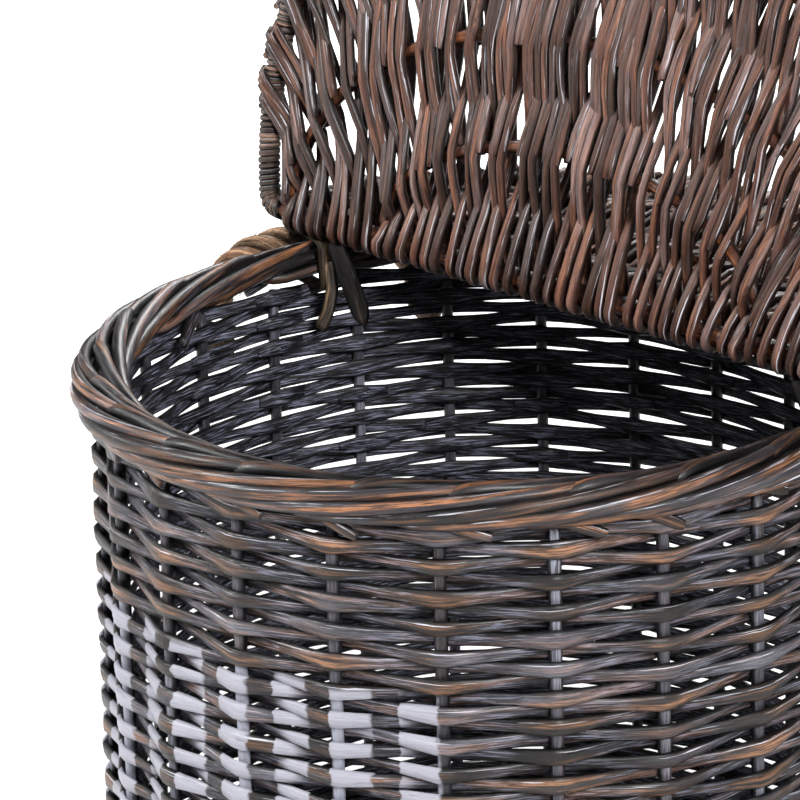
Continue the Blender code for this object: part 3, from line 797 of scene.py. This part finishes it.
def panelFrame(kind):
    if kind is lid:
        turn = Matrix.Rotation(-math.radians(cover["openDeg"]), 3, "X")
        origin = Vector((0, cover["hingeY"], cover["hingeZ"]))
        return origin, turn @ Vector((0, -1, 0)), turn @ Vector((0, 0, 1))
    return Vector((0, cover["deckY"], cover["hingeZ"])), Vector((0, 1, 0)), Vector((0, 0, 1))


# how far the panel's stick lies from the axis of the basket
def panelChord(kind):
    return cover["hingeY"] - body["axisY"] if kind is lid else body["axisY"] - cover["deckY"]


def panelReach(kind, u):
    inside = cover["hoopRadius"] ** 2 - u * u
    return panelChord(kind) + math.sqrt(max(inside, 0.0))


def hoopOutline(kind):
    radius, corner = cover["hoopRadius"], panel["corner"]
    chord = panelChord(kind)
    across = math.sqrt((radius - corner) ** 2 - (chord - corner) ** 2)
    lean = math.atan2(chord - corner, -across) % (2 * math.pi)
    points = []
    for step in range(7):
        turn = math.pi / 2 + (lean - math.pi / 2) * step / 7
        v = chord - (chord - corner + corner * math.sin(turn))
        points.append((-across + corner * math.cos(turn), v))
    for step in range(121):
        turn = lean + (3 * math.pi - 2 * lean) * step / 120
        points.append((radius * math.cos(turn), chord - radius * math.sin(turn)))
    points += [(-u, v) for u, v in reversed(points[:7])]
    half = -points[0][0] - 0.004
    return [(-half, 0.0), *points, (half, 0.0)]


def ribHeight(rib, u):
    halfSpan, height = rib
    inside = 1 - (u / halfSpan) ** 2
    return height * math.sqrt(inside) if inside > 0 else -1.0


# one rod from the stick, or from a rib, out to the hoop; it changes side at every rib it meets
def fanLeg(kind, start, front, rng, firstRib=0):
    spread = math.radians(fan["spreadDeg"]) * start * start
    lean = math.copysign(min(spread, math.radians(fan["mostDeg"])), start)
    lean += fan["lean"] + rng.normal() * fan["leanNoise"]
    v, u, step = 0.0, start, fan["step"]
    bends = rng.normal(size=16) * fan["bendNoise"]
    line = []
    while v < min(fan["farthest"], panelReach(kind, u)):
        line.append((u, v))
        slope = math.tan(lean * min(1.0, 0.25 + v / fan["straighten"]) + bends[int(v / fan["bendEvery"])])
        v += step / math.sqrt(1 + slope * slope)
        u += slope * step / math.sqrt(1 + slope * slope)
    line.append((u, v))
    sign = 1 if front else -1
    marks = [(0.0, sign * (panel["stick"] + panel["rod"]))]
    away = [0.0]
    for before, after in zip(line, line[1:]):
        away.append(away[-1] + math.dist(before, after))
    begin = 0
    for index in range(1, len(line)):
        for number, rib in enumerate(kind["ribs"]):
            below = line[index - 1][1] - ribHeight(rib, line[index - 1][0])
            above = line[index][1] - ribHeight(rib, line[index][0])
            if below < 0 <= above and ribHeight(rib, line[index][0]) > 0:
                sign = -sign
                if number + 1 == firstRib:
                    begin = index
                    marks = []
                marks.append((away[index], sign * (panel["rib"] + panel["rod"])))
    if firstRib and not begin:
        return None
    sign = -sign
    if away[-1] - marks[-1][0] > 0.02:
        marks.append((away[-1], sign * (panel["hoop"] + panel["rod"] * 0.7)))
    else:
        marks.append((away[-1], marks[-1][1]))
    places, heights = zip(*marks)
    path = []
    for (u, v), along in zip(line[begin::2], away[begin::2]):
        index = max(0, min(len(places) - 2, int(np.searchsorted(places, along)) - 1))
        share = (along - places[index]) / max(places[index + 1] - places[index], 1e-6)
        share = min(1.0, max(0.0, share))
        ease = share - math.sin(2 * math.pi * share) / (2 * math.pi) * 0.2
        path.append((u, v, heights[index] * (1 - ease) + heights[index + 1] * ease))
    if len(path) < 4:
        return path
    heading = np.array(path[-1][:2]) - np.array(path[-3][:2])
    heading = heading / np.linalg.norm(heading)
    reach = panel["hoop"] + panel["rod"]
    for turn in np.radians(fan["wrapDeg"]):
        away = heading * reach * math.sin(turn)
        path.append((u + away[0], v + away[1], math.copysign(reach, heights[-1]) * math.cos(turn)))
    return path


def makePanel(kind):
    rng = np.random.default_rng(kind["seed"])
    origin, forward, normal = (np.array(item) for item in panelFrame(kind))
    prefix = kind["prefix"]
    bodyName = "lid" if kind is lid else "basket"

    def place(rows):
        rows = np.array(rows)
        return origin + rows[:, :1] * np.array([1.0, 0, 0]) + rows[:, 1:2] * forward + rows[:, 2:] * normal

    outline = hoopOutline(kind)
    half = outline[-1][0]
    bm = bmesh.new()
    spacing = 2 * (half - panel["margin"]) / kind["loops"]
    hub = panel["stick"] + panel["rod"]
    for index in range(kind["loops"]):
        start = -half + panel["margin"] + spacing * (index + 0.25) + rng.normal() * 0.0012
        size = panel["rod"] * rng.uniform(0.78, 1.18)
        back = fanLeg(kind, start, True, rng)
        front = fanLeg(kind, start + spacing / 2, False, rng)
        arc = []
        for share in np.linspace(0.08, 0.92, 9):
            turn = math.pi * share
            arc.append((start + spacing / 2 * share, -hub * math.sin(turn), hub * math.cos(turn)))
        path = back[::-1] + arc + front[1:]
        taper = np.concatenate([np.linspace(0.82, 1.05, len(back)), np.full(9, 1.05),
                                np.linspace(1.05, 0.85, len(front) - 1)])
        taper = taper * (1 + 0.02 * rng.normal(size=len(taper)))
        bendRod(bm, place(path), normal, size * taper, size * taper, rng.uniform(), sides=7)
        for rib in range(1, len(kind["ribs"]) + 1):
            for offset in (0.1, 0.6) if rib == 1 else (0.28, 0.78):
                leg = fanLeg(kind, start + spacing * offset, offset < 0.5, rng, rib)
                if leg and len(leg) > 6:
                    bendRod(bm, place(leg), normal, size * 0.9, size * 0.9, rng.uniform(), sides=6)
    finishPiece(bm, f"{prefix}Rods", "lidWillow", bodyName, [f"{prefix}_weave"])

    bm = bmesh.new()
    along = np.linspace(-half + 0.0005, half - 0.0005, 60)
    wobble = 0.0005 * np.sin(along * 37) + 0.0003 * np.sin(along * 91)
    rows = np.stack([along, wobble, wobble * 0.6], axis=1)
    bendRod(bm, place(rows), normal, panel["stick"], panel["stick"], 0.4, sides=14)
    finishPiece(bm, f"{prefix}Stick", "ribWillow", bodyName, [f"{prefix}_stick"])

    for number, (halfSpan, height) in enumerate(kind["ribs"], start=1):
        bm = bmesh.new()
        stop = cover["hoopRadius"] - panel["hoop"] - panel["rib"] - 0.0003
        line = []
        for turn in np.linspace(0, math.pi, 61):
            u, v = halfSpan * math.cos(turn), height * math.sin(turn) + panel["stick"] + 0.0012
            if math.hypot(u, panelReach(kind, 0) - cover["hoopRadius"] - v) < stop:
                line.append((u, v, 0.0005 * math.sin(9 * turn)))
        bendRod(bm, place(line), normal, panel["rib"], panel["rib"], 0.3 + 0.2 * number, sides=10)
        finishPiece(bm, f"{prefix}Rib{number}", "ribWillow", bodyName,
                    [f"{prefix}_rib_{number}"])

    hoop = smoothPath([(u, v, 0.0) for u, v in outline], 260)
    bm = bmesh.new()
    bendRod(bm, place(hoop), normal, panel["hoop"], panel["hoop"], 0.6, sides=10)
    turnsCount = int(lengthAlong(hoop)[-1] / binding["pitch"])
    dense = smoothPath(hoop, turnsCount * binding["rings"] + 1)
    tangent = unit(np.gradient(dense, axis=0))
    outerSide = np.stack([tangent[:, 1], -tangent[:, 0], np.zeros(len(dense))], axis=1)
    twist = np.linspace(0, 2 * math.pi * turnsCount, len(dense))
    twist = twist + 1.3 * np.sin(twist / 23) + 0.7 * np.sin(twist / 7.3)
    lift = np.array([0.0, 0.0, 1.0])
    spiral = np.cos(twist)[:, None] * outerSide + np.sin(twist)[:, None] * lift
    wound = place(dense + spiral * (panel["hoop"] + binding["lift"]))
    out = wound - place(dense)
    for part in np.array_split(np.arange(len(dense)), max(1, turnsCount // binding["turnsPerStrip"])):
        part = np.append(part, min(part[-1] + 1, len(dense) - 1))
        if len(part) > 4:
            wide = binding["wide"] * rng.uniform(0.75, 1.15)
            bendRod(bm, wound[part], out[part], wide, binding["thick"], rng.uniform(), sides=6)
    finishPiece(bm, f"{prefix}Hoop", "bindingWillow", bodyName, [f"{prefix}_hoop"])


makePanel(lid)
print("lid made")
makePanel(deck)
print("deck made")

# hinge straps, willow loops and ties
strap = {"x": 0.186, "wide": 0.007, "thick": 0.0011, "gap": 0.0008, "tongueRings": 14, "square": 0.45}
tie = {"wide": 0.006, "thick": 0.00125, "corner": 0.005, "inset": 0.0183, "clear": 0.0003,
       "degrees": {"rim_loop_left": 165, "rim_loop_right": 15, "deck_tie_left": 135, "deck_tie_back": 90,
                   "deck_tie_right": 45}}


def makeStraps():
    gap = cover["deckY"] - cover["hingeY"]
    radius = panel["stick"] + strap["gap"] + strap["thick"]
    rings = strap["tongueRings"]
    for side, name in ((-1, "left"), (1, "right")):
        bm = bmesh.new()
        x = side * strap["x"]
        ring = []
        for turn in np.linspace(0, 2 * math.pi, 49):
            y = radius * math.cos(turn) + (gap if math.cos(turn) > 0 else 0)
            ring.append((x, cover["hingeY"] + y, cover["hingeZ"] + radius * math.sin(turn)))
        ring = smoothPath(ring, 64)
        centre = np.array([x, cover["hingeY"] + gap / 2, cover["hingeZ"]])
        bendRod(bm, ring, ring - centre, strap["wide"], strap["thick"], 0.4, sides=12,
                square=strap["square"], blunt=1.0)
        top = np.array([x - 0.004, cover["hingeY"] - 0.004, cover["hingeZ"] - radius - 0.0012])
        tongue = [top + step for step in ([0, 0, 0], [0.008, -0.002, -0.008], [0.019, -0.004, -0.024],
                                          [0.031, -0.005, -0.046])]
        wide = np.full(rings, strap["wide"])
        wide[-3:] = strap["wide"] * np.array([0.95, 0.75, 0.4])
        bendRod(bm, smoothPath(tongue, rings), (0.3, -1, 0), wide, strap["thick"] * 1.3, 0.5, sides=12,
                square=strap["square"])
        finishPiece(bm, f"hingeStrap{name.capitalize()}", "strapLeather", "basket",
                    [f"hinge_strap_{name}"])


# reach and height of a band that runs square round the border
def loopRoute(inner, outer, low, high):
    corner = tie["corner"]
    left, right, bottom, top = inner + corner, outer - corner, low + corner, high - corner
    spots = []
    for reach, z, start in ((right, top, 0.0), (left, top, 0.5), (left, bottom, 1.0), (right, bottom, 1.5)):
        for step in range(5):
            turn = math.pi * (start + 0.125 * step)
            spots.append((reach + corner * math.cos(turn), z + corner * math.sin(turn)))
    return [*spots, spots[0]]


# the same for a band that hugs the hoop of the deck and then the border
def deckTieRoute(inner, outer, low, high):
    under, edge, rim = cover["hingeZ"] - 0.005, body["borderEdge"] + 0.0015, body["borderTop"]
    return [(inner + 0.001, low + 0.003), (inner, rim - 0.004), (inner + 0.012, high - 0.004),
            (outer - 0.014, high), (outer - 0.004, high - 0.001), (outer, high - 0.005),
            (outer - 0.002, under), (edge + 0.004, rim - 0.006), (edge, body["borderLow"] + 0.01),
            (edge - 0.007, low + 0.001), (inner + 0.006, low), (inner + 0.001, low + 0.003)]


def makeTies():
    for name, degrees in tie["degrees"].items():
        low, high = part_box(name)
        angle = math.radians(degrees)
        onRim = name.startswith("rim")
        inner = body["rimRadius"] - tie["inset"] - tie["thick"]
        edge = body["borderEdge"] if onRim else cover["hoopRadius"] + cover["hoopRod"]
        outer = edge + tie["clear"] + tie["thick"]
        makeRoute = loopRoute if onRim else deckTieRoute
        route = makeRoute(inner, outer, low.z + tie["thick"], high.z - tie["thick"])
        path = smoothPath([around(angle, *spot) for spot in route], 56)
        bm = bmesh.new()
        bendRod(bm, path, path - path.mean(axis=0), tie["wide"], tie["thick"], 0.5, sides=10, flat=0.8,
                square=0.7, blunt=1.0)
        if name == "rim_loop_left":
            top = np.array(around(angle, inner - 0.002, low.z + 0.020))
            tail = [top + step for step in ([0, 0, 0], [0.004, -0.001, -0.016], [0.002, -0.003, -0.030],
                                            [-0.005, -0.004, -0.044])]
            bendRod(bm, smoothPath(tail, 12), (0.5, -1, 0), 0.0042, 0.0014, 0.9, sides=8, square=0.7)
        first, *others = name.split("_")
        title = first + "".join(word.capitalize() for word in others)
        finishPiece(bm, title, "splitWillow", "basket", [name])


makeStraps()
makeTies()
print("fastenings made")

# lights: place, size, power, target; the floor fades to white between two distances from its middle
studio = {
    "world": 0.12, "floorHalf": 12, "fade": (0.5, 2.2),
    "lights": {
        "keyLight": ((-2.2, -2.6, 2.8), 0.9, 190.0, (0, 0, 0.35)),
        "fillLight": ((2.8, -1.2, 2.2), 1.0, 150.0, (0, 0, 0.35)),
        "backLight": ((-1.8, 2.4, 2.2), 1.2, 80.0, (0, 0, 0.35)),
        "edgeLight": ((-2.6, -0.7, 1.3), 0.6, 15.0, (0, 0, 0.5)),
    },
}


def addLight(name, place, size, power, target):
    data = bpy.data.lights.new(name, "AREA")
    data.shape = "DISK"
    data.size = size
    data.energy = power
    made = bpy.data.objects.new(name, data)
    made.location = place
    made.rotation_euler = (Vector(target) - Vector(place)).to_track_quat("-Z", "Y").to_euler()
    scene.collection.objects.link(made)


def makeStudio():
    bm = bmesh.new()
    bmesh.ops.create_grid(bm, x_segments=1, y_segments=1, size=studio["floorHalf"])
    mesh = bpy.data.meshes.new("studioFloor")
    bm.to_mesh(mesh)
    bm.free()
    floor = bpy.data.objects.new("studioFloor", mesh)
    scene.collection.objects.link(floor)
    made, tree = newMaterial("floorPaper")
    place = addNode(tree, "ShaderNodeTexCoord").outputs["Object"]
    away = addNode(tree, "ShaderNodeVectorMath", {0: place}, operation="LENGTH").outputs["Value"]
    seen = addNode(tree, "ShaderNodeLightPath").outputs["Is Camera Ray"]
    glow = times(tree, stretch(tree, away, *studio["fade"]), seen)
    setInputs(tree, tree.nodes["Principled BSDF"], {
        "Base Color": (0.9, 0.9, 0.9, 1), "Roughness": 0.9, "Emission Color": (1, 1, 1, 1),
        "Emission Strength": glow,
    })
    mesh.materials.append(made)
    world = bpy.data.worlds.new("studioWorld")
    world.use_nodes = True
    tree = world.node_tree
    seen = addNode(tree, "ShaderNodeLightPath").outputs["Is Camera Ray"]
    strength = stretch(tree, seen, 0.0, 1.0, studio["world"], 1.0)
    setInputs(tree, tree.nodes["Background"], {"Color": (1, 1, 1, 1), "Strength": strength})
    scene.world = world
    for name, setting in studio["lights"].items():
        addLight(name, *setting)
    scene.view_settings.view_transform = "Standard"
    scene.view_settings.look = "None"


makeStudio()
print("studio made")
